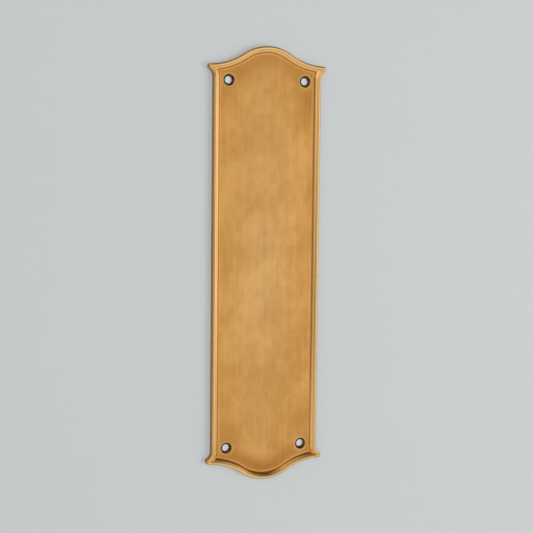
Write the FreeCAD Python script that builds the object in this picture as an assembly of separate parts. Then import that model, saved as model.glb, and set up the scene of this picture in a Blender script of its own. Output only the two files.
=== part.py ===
"""Door finger plate: one brass casting with a moulded rim, ogee ends, eared corners and four screw holes.

The plate stands upright as it is fixed to a door. X runs across it, Z runs up its length and its front
faces -Y. The origin is the centre of the flat back face. All sizes are in millimetres.
"""

import FreeCAD, Part
import math
import os

# Overall sizes
plate_height = 300.0
side_width = 76.6
panel_thickness = 3.0
rim_rise = 2.5

# Outline of each end: a convex crown runs into two hollows that level out at the ears
crown_radius = 29.0
hollow_radius = 46.0
ear_overhang = 3.5
ear_end_flat = 0.6
crest_corner_radius = 0.25
flare_radius = 6.2

# Section of the rim, from the outer edge inwards: bead, crease and an ovolo that rounds down to the panel
bead_radius = 1.3
bead_land = 0.1
crease_depth = 0.35
ovolo_width = 2.35
ovolo_radius = 3.2

# Four screw holes for countersunk wood screws, set in from the straight sides and from the crowns
hole_side_inset = 11.05
hole_end_inset = 23.3
hole_diameter = 5.0
countersink_diameter = 8.0
countersink_angle = 90.0

# Heights off the back face and distances in from the outline that follow from those sizes
rim_height = panel_thickness + rim_rise
crease_height = rim_height - crease_depth
crest_inset = bead_radius + bead_land
crease_inset = crest_inset + math.sqrt(bead_radius**2 - (bead_radius - crease_depth) ** 2)
rim_width = crease_inset + ovolo_width
half_height = plate_height / 2
side_x = side_width / 2
ear_x = side_x + ear_overhang
ear_corner_radius = bead_radius + crest_corner_radius

# Sweeps and cutting tools run past the faces that they meet by this much
overrun = bead_radius

ACROSS = FreeCAD.Vector(1, 0, 0)
BACK = FreeCAD.Vector(0, 1, 0)
UP = FreeCAD.Vector(0, 0, 1)
CENTRE = FreeCAD.Vector(0, 0, 0)
QUARTER_TURN = 90.0
FULL_TURN = 360.0


def at(x, z, height=0.0):
    """A point, or a step, with its height measured forwards from the back face."""
    return FreeCAD.Vector(x, -height, z)


def toward(start, end, distance):
    """The point at a distance from start on the way to end."""
    step = end - start
    step.normalize()
    return start + step * distance


# Centres of the arcs in the upper right quarter of the outline, each arc tangent to the next
hollow_angle = math.asin(ear_x / (crown_radius + hollow_radius))
crown_centre = at(0, half_height - crown_radius)
hollow_centre = crown_centre + at(ear_x, (crown_radius + hollow_radius) * math.cos(hollow_angle))
round_x = ear_x - ear_corner_radius
upper_reach = math.sqrt((hollow_radius + ear_corner_radius) ** 2 - ear_corner_radius**2)
upper_centre = at(round_x, hollow_centre.z - upper_reach)
lower_centre = at(round_x, upper_centre.z - ear_end_flat)
flare_x = side_x + flare_radius
flare_reach = math.sqrt((flare_radius + ear_corner_radius) ** 2 - (flare_x - round_x) ** 2)
flare_centre = at(flare_x, lower_centre.z - flare_reach)

# Points where those arcs and the straight stretches meet
crown_start = toward(crown_centre, at(-hollow_centre.x, hollow_centre.z), crown_radius)
crown_end = toward(crown_centre, hollow_centre, crown_radius)
hollow_end = toward(hollow_centre, upper_centre, hollow_radius)
upper_end = upper_centre + at(ear_corner_radius, 0)
lower_start = lower_centre + at(ear_corner_radius, 0)
lower_end = toward(flare_centre, lower_centre, flare_radius)
flare_end = at(side_x, flare_centre.z)


def line(start, end):
    return Part.LineSegment(start, end).toShape()


def arc(centre, start, end):
    """The shorter arc about a centre from start to end."""
    middle = toward(centre, (start + end) * 0.5, (start - centre).Length)
    return Part.Arc(start, middle, end).toShape()


def mirrored(shapes, normal):
    """The shapes and their mirror images in the plane through the origin with this normal."""
    return shapes + [shape.mirror(CENTRE, normal) for shape in shapes]


def all_round(corner_shapes, top_shape, right_shape):
    """What lies at one corner, at the top and on the right, repeated at every corner, end and side."""
    corners = mirrored(mirrored(corner_shapes, ACROSS), UP)
    return corners + mirrored([top_shape], UP) + mirrored([right_shape], ACROSS)


def outline_face():
    """The plate's outline on the back face."""
    ear = [
        arc(hollow_centre, crown_end, hollow_end),
        arc(upper_centre, hollow_end, upper_end),
        line(upper_end, lower_start),
        arc(lower_centre, lower_start, lower_end),
        arc(flare_centre, lower_end, flare_end),
    ]
    crown = arc(crown_centre, crown_start, crown_end)
    side = line(flare_end, at(side_x, -flare_end.z))
    edges = all_round(ear, crown, side)
    return Part.Face(Part.Wire(Part.sortEdges(edges)[0]))


def rim_section(edge_point, inward):
    """The rim's section at a point of the outline, set across it along a unit inward direction."""

    def spot(inset, height):
        return edge_point + inward * inset + at(0, 0, height)

    outer_foot = spot(-overrun, 0)
    outer_top = spot(-overrun, rim_height)
    crest = spot(crest_inset, rim_height)
    bead_centre = spot(crest_inset, rim_height - bead_radius)
    crease = spot(crease_inset, crease_height)
    ovolo_foot = spot(rim_width, panel_thickness)
    inner_foot = spot(rim_width, 0)
    ovolo_drop = crease_height - panel_thickness
    half_chord = math.hypot(ovolo_width, ovolo_drop) / 2
    first_tilt = math.atan2(ovolo_drop, ovolo_width) - math.asin(half_chord / ovolo_radius)
    ovolo_inset = crease_inset - ovolo_radius * math.sin(first_tilt)
    ovolo_centre = spot(ovolo_inset, crease_height - ovolo_radius * math.cos(first_tilt))
    edges = [
        line(outer_foot, outer_top),
        line(outer_top, crest),
        arc(bead_centre, crest, crease),
        arc(ovolo_centre, crease, ovolo_foot),
        line(ovolo_foot, inner_foot),
        line(inner_foot, outer_foot),
    ]
    return Part.Face(Part.Wire(edges))


def rim_sweeps():
    """The rim along each stretch of the outline. Near the ears the sweeps cross and meet in mitres.

    The hollow and the flare run on past the ear, to be trimmed to the outline later.
    """
    hollow_turn = math.degrees(hollow_angle)
    crown_section = rim_section(crown_start, toward(crown_start, crown_centre, 1) - crown_start)
    crown = crown_section.revolve(crown_centre, BACK, 2 * hollow_turn)
    hollow_section = rim_section(crown_end, crown_end - toward(crown_end, hollow_centre, 1))
    hollow = hollow_section.revolve(hollow_centre, BACK, -2 * hollow_turn)
    flare = rim_section(flare_end, -ACROSS).revolve(flare_centre, BACK, QUARTER_TURN)

    ear_top = at(ear_x, upper_centre.z + ear_corner_radius + overrun)
    ear_bottom = at(ear_x, lower_centre.z - ear_corner_radius)
    ear_end = rim_section(ear_top, -ACROSS).extrude(ear_bottom - ear_top)
    side = rim_section(flare_end, -ACROSS).extrude(UP * -2 * flare_end.z)
    return all_round([hollow, flare, ear_end], crown, side)


def blank():
    """Panel and rim trimmed to the outline, with the rim's outer edge still square."""
    width = 2 * (ear_x + overrun)
    length = 2 * (half_height + overrun)
    panel = Part.makeBox(width, panel_thickness, length, at(-width / 2, -length / 2, panel_thickness))
    outline = outline_face().extrude(at(0, 0, rim_height + overrun))
    return panel.multiFuse(rim_sweeps()).removeSplitter().common(outline)


def round_outer_edge(body):
    """The outer half of the bead, rounded over the outer edge of the flat crest."""
    top_faces = [face for face in body.Faces if face.CenterOfMass.y < -crease_height]
    crest = next(face for face in top_faces if face.Surface.TypeId == "Part::GeomPlane")
    return body.makeFillet(bead_radius, crest.OuterWire.Edges)


def screw_hole(x, z):
    """The tool that cuts one through hole and its countersink, a section turned about the hole's axis."""
    hole_radius = hole_diameter / 2
    sink_radius = countersink_diameter / 2
    sink_depth = (sink_radius - hole_radius) / math.tan(math.radians(countersink_angle / 2))
    section = [
        at(x, z, -overrun),
        at(x + hole_radius, z, -overrun),
        at(x + hole_radius, z, panel_thickness - sink_depth),
        at(x + sink_radius, z, panel_thickness),
        at(x + sink_radius, z, rim_height + overrun),
        at(x, z, rim_height + overrun),
    ]
    face = Part.Face(Part.makePolygon(section + section[:1]))
    return face.revolve(at(x, z), BACK, FULL_TURN)


def finger_plate():
    hole_x = side_x - hole_side_inset
    hole_z = half_height - hole_end_inset
    holes = [screw_hole(x, z) for x in (-hole_x, hole_x) for z in (-hole_z, hole_z)]
    return round_outer_edge(blank()).cut(holes).Solids[0]


plate = finger_plate()
print("valid", plate.isValid(), "faces", len(plate.Faces), "volume cm3", round(plate.Volume / 1000, 2))
os.makedirs("parts", exist_ok=True)
plate.exportStep("parts/finger_plate.step")
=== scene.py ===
"""Looks of the door finger plate: its finished mesh, antiqued brass, backdrop, lamps and camera.

Sizes are in metres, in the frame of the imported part: X runs across the plate, Z runs up its length, its
front faces -Y and its flat back lies on Y = 0. Heights are measured forwards from the back, and insets
inwards from the outline.
"""

import math

import bmesh
import bpy
import numpy as np
from mathutils import Matrix, Vector, geometry


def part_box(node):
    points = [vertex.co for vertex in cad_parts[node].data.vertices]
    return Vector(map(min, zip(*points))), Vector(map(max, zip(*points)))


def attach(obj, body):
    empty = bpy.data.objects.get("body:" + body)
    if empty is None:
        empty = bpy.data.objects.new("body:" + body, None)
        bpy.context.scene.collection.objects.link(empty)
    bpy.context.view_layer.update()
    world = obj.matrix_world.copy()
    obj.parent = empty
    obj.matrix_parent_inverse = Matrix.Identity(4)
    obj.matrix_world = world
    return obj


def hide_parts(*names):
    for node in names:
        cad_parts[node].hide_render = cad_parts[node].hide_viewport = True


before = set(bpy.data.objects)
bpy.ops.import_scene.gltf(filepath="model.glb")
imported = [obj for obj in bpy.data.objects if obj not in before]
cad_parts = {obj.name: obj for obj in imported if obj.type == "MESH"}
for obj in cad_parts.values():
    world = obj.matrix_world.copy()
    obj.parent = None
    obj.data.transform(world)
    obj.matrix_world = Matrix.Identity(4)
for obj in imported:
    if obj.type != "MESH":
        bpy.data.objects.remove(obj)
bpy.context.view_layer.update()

MM = 0.001
FULL_TURN = 2 * math.pi
HALF_TURN = math.pi
QUARTER_TURN = math.pi / 2

# Sizes of the solid that the mesh repeats, the overall ones taken from the frame
plate_low, plate_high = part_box("finger_plate")
half_height = plate_high.z
ear_x = plate_high.x
rim_height = -plate_low.y
panel_thickness = 3.0 * MM
ear_overhang = 3.5 * MM
crown_radius = 29.0 * MM
hollow_radius = 46.0 * MM
ear_end_flat = 0.6 * MM
ear_corner_radius = 1.55 * MM
flare_radius = 6.2 * MM
bead_radius = 1.3 * MM
bead_land = 0.1 * MM
crease_depth = 0.35 * MM
ovolo_width = 2.35 * MM
ovolo_radius = 3.2 * MM
hole_x = 27.25 * MM
hole_z = 126.7 * MM
hole_radius = 2.5 * MM
sink_radius = 4.0 * MM

# How far the casting's edges and inner corners are softened
edge_ease = 0.15 * MM
crease_ease = 0.15 * MM
foot_ease = 0.7 * MM
sink_ease = 0.2 * MM

# Rings beside a rounded corner lie this many rounding radii away from it
ring_reach = 2
lip_reach = 1.2
hole_surround = 1.0 * MM

# Places that follow from those sizes, in the upper right quarter of the outline
side_x = ear_x - ear_overhang
hollow_angle = math.asin(ear_x / (crown_radius + hollow_radius))
crown_z = half_height - crown_radius
hollow_z = crown_z + (crown_radius + hollow_radius) * math.cos(hollow_angle)
round_x = ear_x - ear_corner_radius
upper_z = hollow_z - math.sqrt((hollow_radius + ear_corner_radius) ** 2 - ear_corner_radius**2)
lower_z = upper_z - ear_end_flat
flare_x = side_x + flare_radius
flare_z = lower_z - math.sqrt((flare_radius + ear_corner_radius) ** 2 - (flare_x - round_x) ** 2)

# The rim's section and the depth of the countersinks, which slope at 45 degrees
crest_inset = bead_radius + bead_land
bead_height = rim_height - bead_radius
bead_turn = math.acos((bead_radius - crease_depth) / bead_radius)
crease_inset = crest_inset + bead_radius * math.sin(bead_turn)
crease_height = rim_height - crease_depth
rim_width = crease_inset + ovolo_width
sink_height = panel_thickness - (sink_radius - hole_radius)

# Steps along each stretch of a quarter of the outline, and round each hole
crown_steps = 24
hollow_steps = 40
corner_steps = 6
flat_steps = 2
flare_steps = 16
side_steps = 36
hole_steps = 64
panel_grid = 2.0 * MM

# Steps across the rim and round each softened corner, which take up the first and last steps of the ovolo
bead_steps = 10
crest_steps = 5
ovolo_steps = 12
ovolo_first = 2
ovolo_last = 9
round_steps = 4

# Points nearer than this are one point, and triangles within this share of a hole's radius lie in the hole
same_point = 1e-9
just_inside = 0.998

# Finish of the metal at a point: dark patina, pale wear, polish and brown tarnish, where the patina and the
# tarnish also carry painted shade
FINISH_NAMES = ("patina_and_shade", "wear", "polish", "tarnish_and_shade")
# The outer walls are darkened partly by patina and partly by painted shade, in place of the shaded backdrop
# beside them that they would reflect
wall_patina_and_shade = 0.47
back_finish = (0.3, 0, 0, 0)
wall_finish = (wall_patina_and_shade, 0, 0, 0)
crest_finish = (0, 0.75, 1, 0)
crease_finish = (0.05, 0.25, 1.3, 0.25)
foot_finish = (0.03, 0, 0.5, 0.15)
lip_finish = (0, 0.15, 0, 0.1)
panel_finish = (0.03, 0, 0, 0)
surround_finish = (0.05, 0, 0, 0)
sink_lip_finish = (0.05, 0.4, 0, 0)
sink_edge_finish = (0.3, 0.3, 0, 0)
# Down the countersinks and bores the dark is partly patina and partly painted shade, darkest in the bore
sink_finish = (0.9, 0, 0, 0)
bore_finish = (1, 0, 0, 0)

# Up the outer half of the bead, the wall's patina and painted shade end at a share of the way and wear
# grows to the crest
bead_clean_share = 5 / 7
bead_wear = 0.7
bead_polish = 1

# Down the ovolo, wear fades out between two shares of the way
ovolo_wear = 0.4
ovolo_fade_start = 0.4
ovolo_fade_end = 0.7
ovolo_polish = 1.5

# Around the ears the rim is less worn and a little brown
ear_reach = 12.0 * MM
ear_dulling = 0.4
ear_tarnish = 0.08

# Between two insets on the ovolo, painted shade takes the wear off the rim and turns it brown, from this
# far below the centre to the lower end, where the ovolo faces up away from the light
low_start = 125.0 * MM
low_inset = 2.3 * MM
low_end = 4.1 * MM
low_painted_shade = 0.6

# The panel's ends are brown, most of all a little way in from the rim
top_tarnish = 0.45
bottom_tarnish = 0.85
tarnish_peak = 3.0 * MM
tarnish_spread = 6.0 * MM
tarnish_power = 6

# Brown marks on the panel, each with its X, Z, width, length and strength: a stain near the upper right
# corner, and painted shade down the right side beside the rim
stains_and_shade = [
    (33.0 * MM, 112.0 * MM, 9.0 * MM, 14.0 * MM, 0.35),
    # Painted shade along the right side of the panel, beside the rim
    (34.0 * MM, 0.0 * MM, 9.0 * MM, 45.0 * MM, 0.2),
]

# Dirt lies in the panel's corners, and hands have rubbed its middle
corner_x = 33.0 * MM
corner_z = 131.0 * MM
corner_dirt = 0.25
corner_spread = 4.5 * MM
hand_wear = 0.25
hand_width = 22.0 * MM
hand_length = 100.0 * MM


def arc(centre, radius, start, end, steps):
    """Points of an arc, with angles measured from +X towards +Z, without its last point."""
    angles = start + (end - start) * np.arange(steps) / steps
    return np.stack([centre[0] + radius * np.cos(angles), centre[1] + radius * np.sin(angles)], axis=1)


def straight(start, end, steps):
    """Points of a straight run, without its last point."""
    shares = (np.arange(steps) / steps)[:, None]
    return np.array(start) + (np.array(end) - np.array(start)) * shares


def direction(centre, point):
    return math.atan2(point[1] - centre[1], point[0] - centre[0])


def ear_points(inset):
    """Where the hollow ends and the flare begins, with the outline set in by this much."""
    x = ear_x - inset
    upper = hollow_z - math.sqrt((hollow_radius + inset) ** 2 - (ear_x - x) ** 2)
    lower = flare_z + math.sqrt((flare_radius + inset) ** 2 - (flare_x - x) ** 2)
    if upper > lower:
        return (x, upper), (x, lower)
    hollow_centre = np.array([ear_x, hollow_z])
    flare_centre = np.array([flare_x, flare_z])
    gap = flare_centre - hollow_centre
    distance = np.hypot(*gap)
    far = ((hollow_radius + inset) ** 2 - (flare_radius + inset) ** 2 + distance**2) / (2 * distance)
    aside = math.sqrt((hollow_radius + inset) ** 2 - far**2)
    along = gap / distance
    mitre = hollow_centre + along * far + np.array([along[1], -along[0]]) * aside
    return tuple(mitre), tuple(mitre)


def quarter(inset):
    """The outline's upper right quarter, set in by this much, from the crown's top to the side's middle."""
    hollow_centre = (ear_x, hollow_z)
    flare_centre = (flare_x, flare_z)
    corner = ear_corner_radius - inset
    if corner > 0:
        upper_angle = direction((round_x, upper_z), hollow_centre)
        lower_angle = direction((round_x, lower_z), flare_centre)
        hollow_end = upper_angle - HALF_TURN
        flare_start = lower_angle + HALF_TURN
        upper_round = arc((round_x, upper_z), corner, upper_angle, 0, corner_steps)
        flat = straight((ear_x - inset, upper_z), (ear_x - inset, lower_z), flat_steps)
        lower_round = arc((round_x, lower_z), corner, 0, lower_angle, corner_steps)
    else:
        upper_point, lower_point = ear_points(inset)
        hollow_end = direction(hollow_centre, upper_point)
        flare_start = direction(flare_centre, lower_point)
        upper_round = straight(upper_point, upper_point, corner_steps)
        flat = straight(upper_point, lower_point, flat_steps)
        lower_round = straight(lower_point, lower_point, corner_steps)
    crown = arc((0, crown_z), crown_radius - inset, QUARTER_TURN, QUARTER_TURN - hollow_angle, crown_steps)
    hollow_start = -QUARTER_TURN - hollow_angle
    hollow = arc(hollow_centre, hollow_radius + inset, hollow_start, hollow_end, hollow_steps)
    flare = arc(flare_centre, flare_radius + inset, flare_start % FULL_TURN, HALF_TURN, flare_steps)
    side = straight((side_x - inset, flare_z), (side_x - inset, 0), side_steps)
    return np.concatenate([crown, hollow, upper_round, flat, lower_round, flare, side])


def loop(inset):
    """The whole outline, set in by this much, clockwise from the crown's top as seen from the front."""
    right_top = quarter(inset)
    middle = np.array([[side_x - inset, 0]])
    right_bottom = right_top[:0:-1] * (1, -1)
    bottom = right_top[:1] * (1, -1)
    right = np.concatenate([right_top, middle, right_bottom, bottom])
    left = right[-2:0:-1] * (-1, 1)
    return np.concatenate([right, left])


def soften(corners):
    """The two coordinates and the finish of each ring of a profile, with the profile's corners rounded.

    Each corner is given as its two coordinates, a rounding radius and a finish.
    """
    first_x, first_y, _, first_finish = corners[0]
    last_x, last_y, _, last_finish = corners[-1]
    profile = [(first_x, first_y, first_finish)]
    for before, corner, after in zip(corners, corners[1:], corners[2:]):
        here = Vector(corner[:2])
        radius, finish = corner[2:]
        if radius == 0:
            profile.append((*here, finish))
            continue
        back = (Vector(before[:2]) - here).normalized()
        on = (Vector(after[:2]) - here).normalized()
        half = back.angle(on) / 2
        centre = here + (back + on).normalized() * radius / math.sin(half)
        first = here + back * radius / math.tan(half) - centre
        last = here + on * radius / math.tan(half) - centre
        for step in range(round_steps + 1):
            spoke = first.lerp(last, step / round_steps).normalized() * radius
            profile.append((*(centre + spoke), finish))
    profile.append((last_x, last_y, last_finish))
    return profile


def rim_profile():
    """Insets, heights and finishes of the rings, from the back edge over the rim to the panel."""
    corners = [
        (ring_reach * edge_ease, 0, 0, back_finish),
        (0, 0, edge_ease, wall_finish),
        (0, panel_thickness / 2, 0, wall_finish),
    ]
    for share in [step / bead_steps for step in range(bead_steps + 1)]:
        turn = share * QUARTER_TURN
        inset = bead_radius * (1 - math.cos(turn))
        height = bead_height + bead_radius * math.sin(turn)
        patina_and_shade = wall_patina_and_shade * max(0, 1 - share / bead_clean_share)
        corners.append((inset, height, 0, (patina_and_shade, bead_wear * share, bead_polish, 0)))
    for share in [step / crest_steps for step in range(crest_steps)]:
        turn = share * bead_turn
        inset = crest_inset + bead_radius * math.sin(turn)
        height = bead_height + bead_radius * math.cos(turn)
        corners.append((inset, height, 0, crest_finish))
    corners.append((crease_inset, crease_height, crease_ease, crease_finish))
    chord = Vector((ovolo_width, crease_height - panel_thickness))
    half_turn = math.asin(chord.length / 2 / ovolo_radius)
    first_tilt = math.atan2(chord.y, chord.x) - half_turn
    centre_inset = crease_inset - ovolo_radius * math.sin(first_tilt)
    centre_height = crease_height - ovolo_radius * math.cos(first_tilt)
    for share in [step / ovolo_steps for step in range(ovolo_first, ovolo_last + 1)]:
        tilt = first_tilt + 2 * half_turn * share
        inset = centre_inset + ovolo_radius * math.sin(tilt)
        height = centre_height + ovolo_radius * math.cos(tilt)
        remaining = (ovolo_fade_end - share) / (ovolo_fade_end - ovolo_fade_start)
        wear = ovolo_wear * min(1, max(0, remaining))
        corners.append((inset, height, 0, (0, wear, ovolo_polish, 0)))
    corners += [
        (rim_width, panel_thickness, foot_ease, foot_finish),
        (rim_width + lip_reach * foot_ease, panel_thickness, 0, lip_finish),
        (rim_width + ring_reach * foot_ease, panel_thickness, 0, panel_finish),
    ]
    return soften(corners)


def hole_profile():
    """Radii, heights and finishes of the rings of a screw hole, from the panel to the back."""
    sink_reach = ring_reach * sink_ease
    corners = [
        (sink_radius + hole_surround, panel_thickness, 0, surround_finish),
        (sink_radius + sink_reach, panel_thickness, 0, sink_lip_finish),
        (sink_radius, panel_thickness, sink_ease, sink_edge_finish),
        (sink_radius - sink_reach, panel_thickness - sink_reach, 0, sink_finish),
        (hole_radius, sink_height, sink_ease, bore_finish),
        (hole_radius, 0, edge_ease, bore_finish),
        (hole_radius + ring_reach * edge_ease, 0, 0, back_finish),
    ]
    return soften(corners)


def apart(x, z, place_x, place_z):
    """How far a point is from the nearest of four places that mirror each other in the plate's quarters."""
    return math.hypot(abs(x) - place_x, abs(z) - place_z)


def fade(distance):
    """A share that falls smoothly from 1 at no distance to nearly 0 at twice the unit distance."""
    return math.exp(-(distance**2))


def end_brown(z, distance):
    """Brown tarnish on the panel near the plate's ends, at a distance from the rim."""
    strongest = top_tarnish if z > 0 else bottom_tarnish
    return strongest * (z / half_height) ** tarnish_power * fade((distance - tarnish_peak) / tarnish_spread)


def flat_finish(x, z, distance, patina_and_shade):
    """Finish of the panel or the back at a point this far from its border, over a patina of its own, with
    painted shade down the right side.
    """
    brown = end_brown(z, distance)
    for mark_x, mark_z, width, length, strength in stains_and_shade:
        brown += strength * fade(math.hypot((x - mark_x) / width, (z - mark_z) / length))
    dirty = patina_and_shade + corner_dirt * fade(apart(x, z, corner_x, corner_z) / corner_spread)
    rubbed = hand_wear * fade(math.hypot(x / hand_width, z / hand_length))
    return dirty, rubbed, 0, brown


def add_vertex(mesh, x, height, z, finish):
    """A vertex that carries its finish."""
    vertex = mesh.verts.new((x, -height, z))
    for name, value in zip(FINISH_NAMES, finish):
        vertex[mesh.verts.layers.float[name]] = value
    return vertex


def add_ring(mesh, points, height, finish):
    """Vertices for a closed ring, one for each run of equal points, listed once for every point."""
    ring = []
    last = None
    for point in points:
        if last is None or np.hypot(*(point - last)) > same_point:
            ring.append(add_vertex(mesh, point[0], height, point[1], finish))
        else:
            ring.append(ring[-1])
        last = point
    return ring


def join_rings(mesh, rings):
    """Faces between each ring and the next, with triangles where points of a ring coincide."""
    for outer, inner in zip(rings, rings[1:]):
        for i in range(len(outer)):
            j = (i + 1) % len(outer)
            corners = list(dict.fromkeys([outer[i], outer[j], inner[j], inner[i]]))
            if len(corners) > 2:
                mesh.faces.new(corners)


def fill(mesh, rings, height, patina_and_shade):
    """A flat face between an outline and the holes in it, cut into even triangles on a grid of points."""
    vertices = []
    edges = []
    for ring in rings:
        unique = list(dict.fromkeys(ring))
        first = len(vertices)
        vertices += unique
        edges += [(first + i, first + (i + 1) % len(unique)) for i in range(len(unique))]
    flat = [Vector((vertex.co.x, vertex.co.z)) for vertex in vertices]
    columns = np.arange(-side_x, side_x, panel_grid)
    rows = np.arange(-half_height, half_height, panel_grid)
    flat += [Vector((x, z)) for x in columns for z in rows]
    within_edges = 1
    found, _, triangles, sources, _, _ = geometry.delaunay_2d_cdt(flat, edges, [], within_edges, same_point)
    border = np.array([(vertex.co.x, vertex.co.z) for vertex in rings[0]])
    hole_edge = rings[1][0].co
    cleared = just_inside * apart(hole_edge.x, hole_edge.z, hole_x, hole_z)
    made = {}
    for triangle in triangles:
        middle = sum((found[index] for index in triangle), Vector((0, 0))) / len(triangle)
        if apart(middle.x, middle.y, hole_x, hole_z) < cleared:
            continue
        for index in triangle:
            if index in made:
                continue
            x, z = found[index]
            source = sources[index][0]
            if source < len(vertices):
                made[index] = vertices[source]
            else:
                distance = np.hypot(border[:, 0] - x, border[:, 1] - z).min()
                made[index] = add_vertex(mesh, x, height, z, flat_finish(x, z, distance, patina_and_shade))
        mesh.faces.new([made[index] for index in triangle])


def age_rim(mesh, ring, inset):
    """Less wear and more tarnish on a ring of the rim at the ears, and painted shade low on the ovolo."""
    wear = mesh.verts.layers.float["wear"]
    tarnish_and_shade = mesh.verts.layers.float["tarnish_and_shade"]
    for vertex in dict.fromkeys(ring):
        ear = fade(apart(vertex.co.x, vertex.co.z, ear_x, upper_z) / ear_reach)
        vertex[wear] *= 1 - ear_dulling * ear
        vertex[tarnish_and_shade] += ear_tarnish * ear
        # Painted shade: the lower end of the ovolo, which faces up, loses its wear and turns brown
        if low_inset < inset < low_end:
            low = max(0, (-vertex.co.z - low_start) / (half_height - low_start))
            vertex[wear] *= 1 - low
            vertex[tarnish_and_shade] += low_painted_shade * low


def plate_mesh():
    mesh = bmesh.new()
    for name in FINISH_NAMES:
        mesh.verts.layers.float.new(name)
    rings = []
    for inset, height, finish in rim_profile():
        rings.append(add_ring(mesh, loop(inset), height, finish))
        age_rim(mesh, rings[-1], inset)
    tarnish_and_shade = mesh.verts.layers.float["tarnish_and_shade"]
    for vertex in dict.fromkeys(rings[-1]):
        vertex[tarnish_and_shade] += end_brown(vertex.co.z, 0)
    join_rings(mesh, rings)
    front_holes = []
    back_holes = []
    for x in (-hole_x, hole_x):
        for z in (-hole_z, hole_z):
            circles = []
            for radius, height, finish in hole_profile():
                points = arc((x, z), radius, 0, FULL_TURN, hole_steps)
                circles.append(add_ring(mesh, points, height, finish))
            join_rings(mesh, circles)
            front_holes.append(circles[0])
            back_holes.append(circles[-1])
    fill(mesh, [rings[-1]] + front_holes, panel_thickness, panel_finish[0])
    fill(mesh, [rings[0]] + back_holes, 0, back_finish[0])
    bmesh.ops.recalc_face_normals(mesh, faces=mesh.faces)
    for face in mesh.faces:
        face.smooth = True
    data = bpy.data.meshes.new("finger_plate_finish")
    mesh.to_mesh(data)
    mesh.free()
    return data


def add_object(name, data):
    thing = bpy.data.objects.new(name, data)
    bpy.context.scene.collection.objects.link(thing)
    return thing


plate = add_object("finger_plate_finish", plate_mesh())
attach(plate, "root")
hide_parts("finger_plate")

# Sockets of a colour Mix node
MIX_SHARE, MIX_FROM, MIX_TO, MIX_RESULT = 0, 6, 7, 2


def add_node(tree, kind, inputs=None, **settings):
    """A new node with its settings, each input set to a value or linked from another node's socket."""
    node = tree.nodes.new(kind)
    for name, value in settings.items():
        setattr(node, name, value)
    for name, value in (inputs or {}).items():
        if isinstance(value, bpy.types.NodeSocket):
            tree.links.new(value, node.inputs[name])
        else:
            node.inputs[name].default_value = value
    return node


def mix_colours(tree, share, start, end):
    inputs = {MIX_SHARE: share, MIX_FROM: start, MIX_TO: end}
    return add_node(tree, "ShaderNodeMix", inputs, data_type="RGBA").outputs[MIX_RESULT]


def mix_shaders(tree, share, start, end):
    return add_node(tree, "ShaderNodeMixShader", {0: share, 1: start, 2: end}).outputs[0]


def calculate(tree, operation, first, second):
    return add_node(tree, "ShaderNodeMath", {0: first, 1: second}, operation=operation).outputs[0]


def spread(tree, value, old_range, new_range):
    """A value's old range stretched to a new range, and held within it."""
    inputs = {"Value": value}
    inputs["From Min"], inputs["From Max"] = old_range
    inputs["To Min"], inputs["To Max"] = new_range
    return add_node(tree, "ShaderNodeMapRange", inputs).outputs["Result"]


def noise(tree, grain, detail):
    """Noise with this many features per metre along X, Y and Z."""
    place = add_node(tree, "ShaderNodeTexCoord").outputs["Object"]
    scaled = add_node(tree, "ShaderNodeVectorMath", {0: place, 1: grain}, operation="MULTIPLY").outputs[0]
    inputs = {"Vector": scaled, "Scale": 1.0, "Detail": detail, "Roughness": noise_roughness}
    return add_node(tree, "ShaderNodeTexNoise", inputs).outputs["Fac"]


# Colours of the brass
panel_deep = (0.560, 0.276, 0.066, 1)
panel_light = (0.640, 0.340, 0.100, 1)
polished_brass = (0.78, 0.405, 0.115, 1)
worn_brass = (0.66, 0.485, 0.24, 1)
# Brown tarnish, also painted as shade at the lower end of the ovolo and down the right side of the panel
brown_tarnish_and_shade = (0.33, 0.10, 0.014, 1)
# Dark patina, also painted as shade on the outer walls and down in the holes
dark_patina_and_shade = (0.05, 0.022, 0.006, 1)

# Noises in the brass, as features per metre along X, Y and Z and as levels of detail
blotch_grain = (28, 28, 32)
blotch_detail = 3.0
mottle_grain = (210, 210, 110)
streak_grain = (800, 800, 12)
mottle_detail = 4.0
brush_grain = (3200, 3200, 45)
pit_grain = (700, 700, 700)
fine_detail = 2.0
noise_roughness = 0.55

# What each noise adds to the tone of the panel, and the tones that are its deep and its light colour
blotch_weight = 0.52
mottle_weight = 0.28
streak_weight = 0.2
tone_range = (0.42, 0.58)

# How wear, tarnish and patina, with the painted shade that the last two carry, vary as a noise goes through
# its range, and the polish of a full colour
noise_range = (0.35, 0.65)
wear_range = (0.92, 1.0)
tarnish_and_shade_range = (0.8, 1.2)
patina_and_shade_range = (0.5, 1.3)
full_polish = 1.5

# Roughness over a range of tones, what patina adds to it and polish takes off it, and the brush lines
satin_tones = (0.38, 0.62)
satin_range = (0.44, 0.36)
patina_roughness = 0.2
polish_smoothness = 0.15
brush_strength = 0.25
brush_depth = 0.02 * MM


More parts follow.
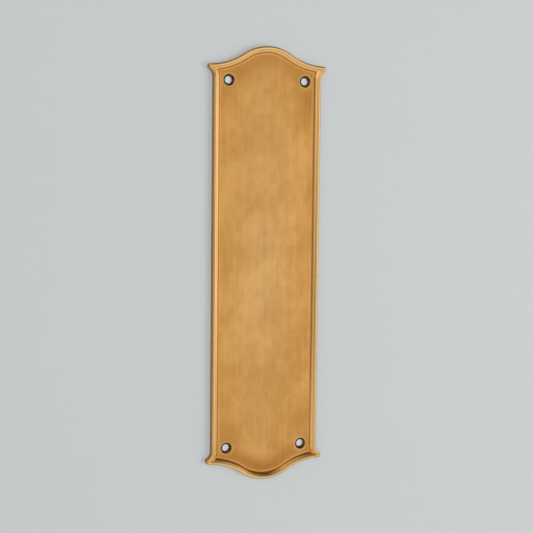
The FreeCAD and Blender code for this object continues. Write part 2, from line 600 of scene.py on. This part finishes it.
def brass():
    """Satin brass with brush lines up the plate, coloured by the finish that its vertices carry, painted
    shade included.
    """
    material = bpy.data.materials.new("antique_brass")
    material.use_nodes = True
    tree = material.node_tree
    shader = tree.nodes["Principled BSDF"]
    blotches = noise(tree, blotch_grain, blotch_detail)
    mottle = noise(tree, mottle_grain, mottle_detail)
    streaks = noise(tree, streak_grain, mottle_detail)
    brush = noise(tree, brush_grain, fine_detail)
    pits = noise(tree, pit_grain, fine_detail)
    attributes = [add_node(tree, "ShaderNodeAttribute", attribute_name=name) for name in FINISH_NAMES]
    patina_and_shade, wear, polish, tarnish_and_shade = [attribute.outputs["Fac"] for attribute in attributes]

    broad = calculate(tree, "MULTIPLY", blotches, blotch_weight)
    middling = calculate(tree, "MULTIPLY", mottle, mottle_weight)
    fine = calculate(tree, "MULTIPLY", streaks, streak_weight)
    tone = calculate(tree, "ADD", broad, calculate(tree, "ADD", middling, fine))

    bright_share = spread(tree, polish, (0, full_polish), (0, 1))
    worn_share = calculate(tree, "MULTIPLY", wear, spread(tree, mottle, noise_range, wear_range))
    # The tarnish and patina shares carry painted shade as well as the metal's own tarnish and patina
    brown_share = calculate(tree, "MULTIPLY", tarnish_and_shade, spread(tree, mottle, noise_range, tarnish_and_shade_range))
    dark_share = calculate(tree, "MULTIPLY", patina_and_shade, spread(tree, pits, noise_range, patina_and_shade_range))
    colour = mix_colours(tree, spread(tree, tone, tone_range, (0, 1)), panel_deep, panel_light)
    colour = mix_colours(tree, bright_share, colour, polished_brass)
    colour = mix_colours(tree, worn_share, colour, worn_brass)
    colour = mix_colours(tree, brown_share, colour, brown_tarnish_and_shade)
    colour = mix_colours(tree, dark_share, colour, dark_patina_and_shade)
    tree.links.new(colour, shader.inputs["Base Color"])
    shader.inputs["Metallic"].default_value = 1.0

    satin = spread(tree, tone, satin_tones, satin_range)
    dulled = calculate(tree, "MULTIPLY", patina_and_shade, patina_roughness)
    smoothed = calculate(tree, "MULTIPLY", polish, polish_smoothness)
    rough = calculate(tree, "ADD", satin, calculate(tree, "SUBTRACT", dulled, smoothed))
    tree.links.new(rough, shader.inputs["Roughness"])
    brushed = spread(tree, polish, (0, 1), (brush_strength, 0))
    bump = add_node(tree, "ShaderNodeBump", {"Height": brush, "Strength": brushed, "Distance": brush_depth})
    tree.links.new(bump.outputs[0], shader.inputs["Normal"])
    return material


plate.data.materials.append(brass())

# Backdrop behind the plate, a paler card behind its holes that paints light where the plate shades the
# backdrop seen through them, and the floor
backdrop_gap = 0.5 * MM
backdrop_half = 0.6
backdrop_colour = (0.524, 0.541, 0.546, 1)
card_gap = 0.3 * MM
card_half_width = 33.0 * MM
card_half_height = 133.0 * MM
# The card is paler than the backdrop: painted light in the holes
hole_light_colour = (0.61, 0.64, 0.68, 1)
floor_z = -0.5
floor_half = 2.0
floor_colour = (0.94, 0.95, 0.96, 1)

# How much of what is seen of them is paint that takes shadows, and not a glow of the same colour
backdrop_paint = 0.4
floor_paint = 0.05

# Rays that see the stage, and how close to the backdrop a ray has to start to pass through it
card_rays = ["Is Camera Ray"]
background_rays = card_rays + ["Is Glossy Ray", "Is Transmission Ray"]
contact_reach = 1.2 * MM


def bare_material(name):
    """A new material with no shader yet."""
    material = bpy.data.materials.new(name)
    material.use_nodes = True
    material.node_tree.nodes.remove(material.node_tree.nodes["Principled BSDF"])
    return material


def show_surface(tree, surface):
    tree.links.new(surface, tree.nodes["Material Output"].inputs["Surface"])


def seen_by(tree, path, rays):
    """1 for these kinds of ray and 0 for all others."""
    seen = path.outputs[rays[0]]
    for name in rays[1:]:
        seen = calculate(tree, "MAXIMUM", seen, path.outputs[name])
    return seen


def stage_paint(tree, colour, seen, paint_share):
    """Matt paint that takes shadows, evened out with a glow of its own colour for the rays that see it."""
    glow = add_node(tree, "ShaderNodeEmission", {"Color": colour}).outputs[0]
    paint = add_node(tree, "ShaderNodeBsdfDiffuse", {"Color": colour}).outputs[0]
    return mix_shaders(tree, calculate(tree, "MULTIPLY", seen, 1 - paint_share), paint, glow)


def backdrop_material(name, colour, rays):
    """Pale paint that is seen from its front only and lets the light behind the plate through.

    The plate's back is so close to it that it sees the room behind instead.
    """
    material = bare_material(name)
    tree = material.node_tree
    path = add_node(tree, "ShaderNodeLightPath")
    seen = seen_by(tree, path, rays)
    painted = stage_paint(tree, colour, seen, backdrop_paint)
    distant = calculate(tree, "GREATER_THAN", path.outputs["Ray Length"], contact_reach)
    behind = add_node(tree, "ShaderNodeNewGeometry").outputs["Backfacing"]
    shown = calculate(tree, "GREATER_THAN", calculate(tree, "MULTIPLY", seen, distant), behind)
    clear = add_node(tree, "ShaderNodeBsdfTransparent").outputs[0]
    show_surface(tree, mix_shaders(tree, shown, clear, painted))
    return material


def floor_material():
    material = bare_material("floor")
    tree = material.node_tree
    seen = seen_by(tree, add_node(tree, "ShaderNodeLightPath"), background_rays)
    show_surface(tree, stage_paint(tree, floor_colour, seen, floor_paint))
    return material


def plane(name, corners, material):
    data = bpy.data.meshes.new(name)
    data.from_pydata(corners, [], [(0, 1, 2, 3)])
    data.materials.append(material)
    thing = add_object(name, data)


square = [(-1, -1), (1, -1), (1, 1), (-1, 1)]
wall_corners = [
    (-backdrop_half, backdrop_gap, floor_z),
    (backdrop_half, backdrop_gap, floor_z),
    (backdrop_half, backdrop_gap, backdrop_half),
    (-backdrop_half, backdrop_gap, backdrop_half),
]
card_corners = [(x * card_half_width, card_gap, z * card_half_height) for x, z in square]
floor_corners = [(x * floor_half, y * floor_half, floor_z) for x, y in square]
plane("backdrop", wall_corners, backdrop_material("backdrop", backdrop_colour, background_rays))
plane("hole_light_card", card_corners, backdrop_material("hole_light_card", hole_light_colour, card_rays))
plane("floor", floor_corners, floor_material())

# Softboxes in a dim room: the direction of each, the cosine at which its soft edge ends, and its brightness
room_level = 0.01
soft_edge = 0.7
softboxes = [
    ((1.0, 0.0, 0.0), soft_edge, 0.55),
    ((1.0, -1.0, 0.0), soft_edge, 1.36),
    ((0.7, 0.0, 0.7), soft_edge, 0.17),
    ((0.0, 0.0, 1.0), soft_edge, 0.14),
    ((-0.7, 0.0, 0.7), soft_edge, 0.12),
    ((-0.7, -1.0, 0.7), soft_edge, 1.33),
    ((-1.0, 0.0, 0.0), soft_edge, 0.36),
    ((-1.0, -1.0, 0.0), soft_edge, 0.22),
    ((0.29, -0.943, -0.2), 0.95, 1.12),
    ((0.0, 1.0, 0.0), 0.2, 0.9),
]


def studio():
    """A dim room with softboxes about the plate."""
    world = bpy.data.worlds.new("studio")
    world.use_nodes = True
    tree = world.node_tree
    place = add_node(tree, "ShaderNodeTexCoord").outputs["Generated"]
    level = room_level
    for aim, edge, brightness in softboxes:
        inputs = {0: place, 1: Vector(aim).normalized()}
        facing = add_node(tree, "ShaderNodeVectorMath", inputs, operation="DOT_PRODUCT").outputs["Value"]
        level = calculate(tree, "ADD", spread(tree, facing, (edge, 1), (0, brightness)), level)
    tree.links.new(level, tree.nodes["Background"].inputs["Color"])
    return world


bpy.context.scene.world = studio()


def point_at(thing, place, target, roll=0):
    """Set a lamp or a camera at a place, turned to a target and rolled about its view."""
    thing.location = place
    facing = (target - place).to_track_quat("-Z", "Y").to_matrix()
    thing.rotation_euler = (facing @ Matrix.Rotation(roll, 3, "Z")).to_euler()


# Lamp on the stage, with no glint of its own in the metal
lamp_place = Vector((0.9, -1.4, -0.25))
lamp_target = Vector((0, 0, 0))
lamp_size = 0.9
lamp_power = 22
lamp_data = bpy.data.lights.new("stage", "AREA")
lamp_data.shape = "SQUARE"
lamp_data.size = lamp_size
lamp_data.energy = lamp_power
lamp = add_object("stage", lamp_data)
lamp.visible_glossy = False
point_at(lamp, lamp_place, lamp_target)

# Camera
camera_place = Vector((-262.6, -811.0, 83.0)) * MM
camera_target = Vector((1.65, 0, -0.76)) * MM
camera_roll = math.radians(0.62)
camera_sensor = 36
camera_lens = 83.45
camera_data = bpy.data.cameras.new("camera")
camera_data.sensor_width = camera_sensor
camera_data.lens = camera_lens
camera = add_object("camera", camera_data)
point_at(camera, camera_place, camera_target, camera_roll)
bpy.context.scene.camera = camera

bpy.context.scene.view_settings.view_transform = "Standard"
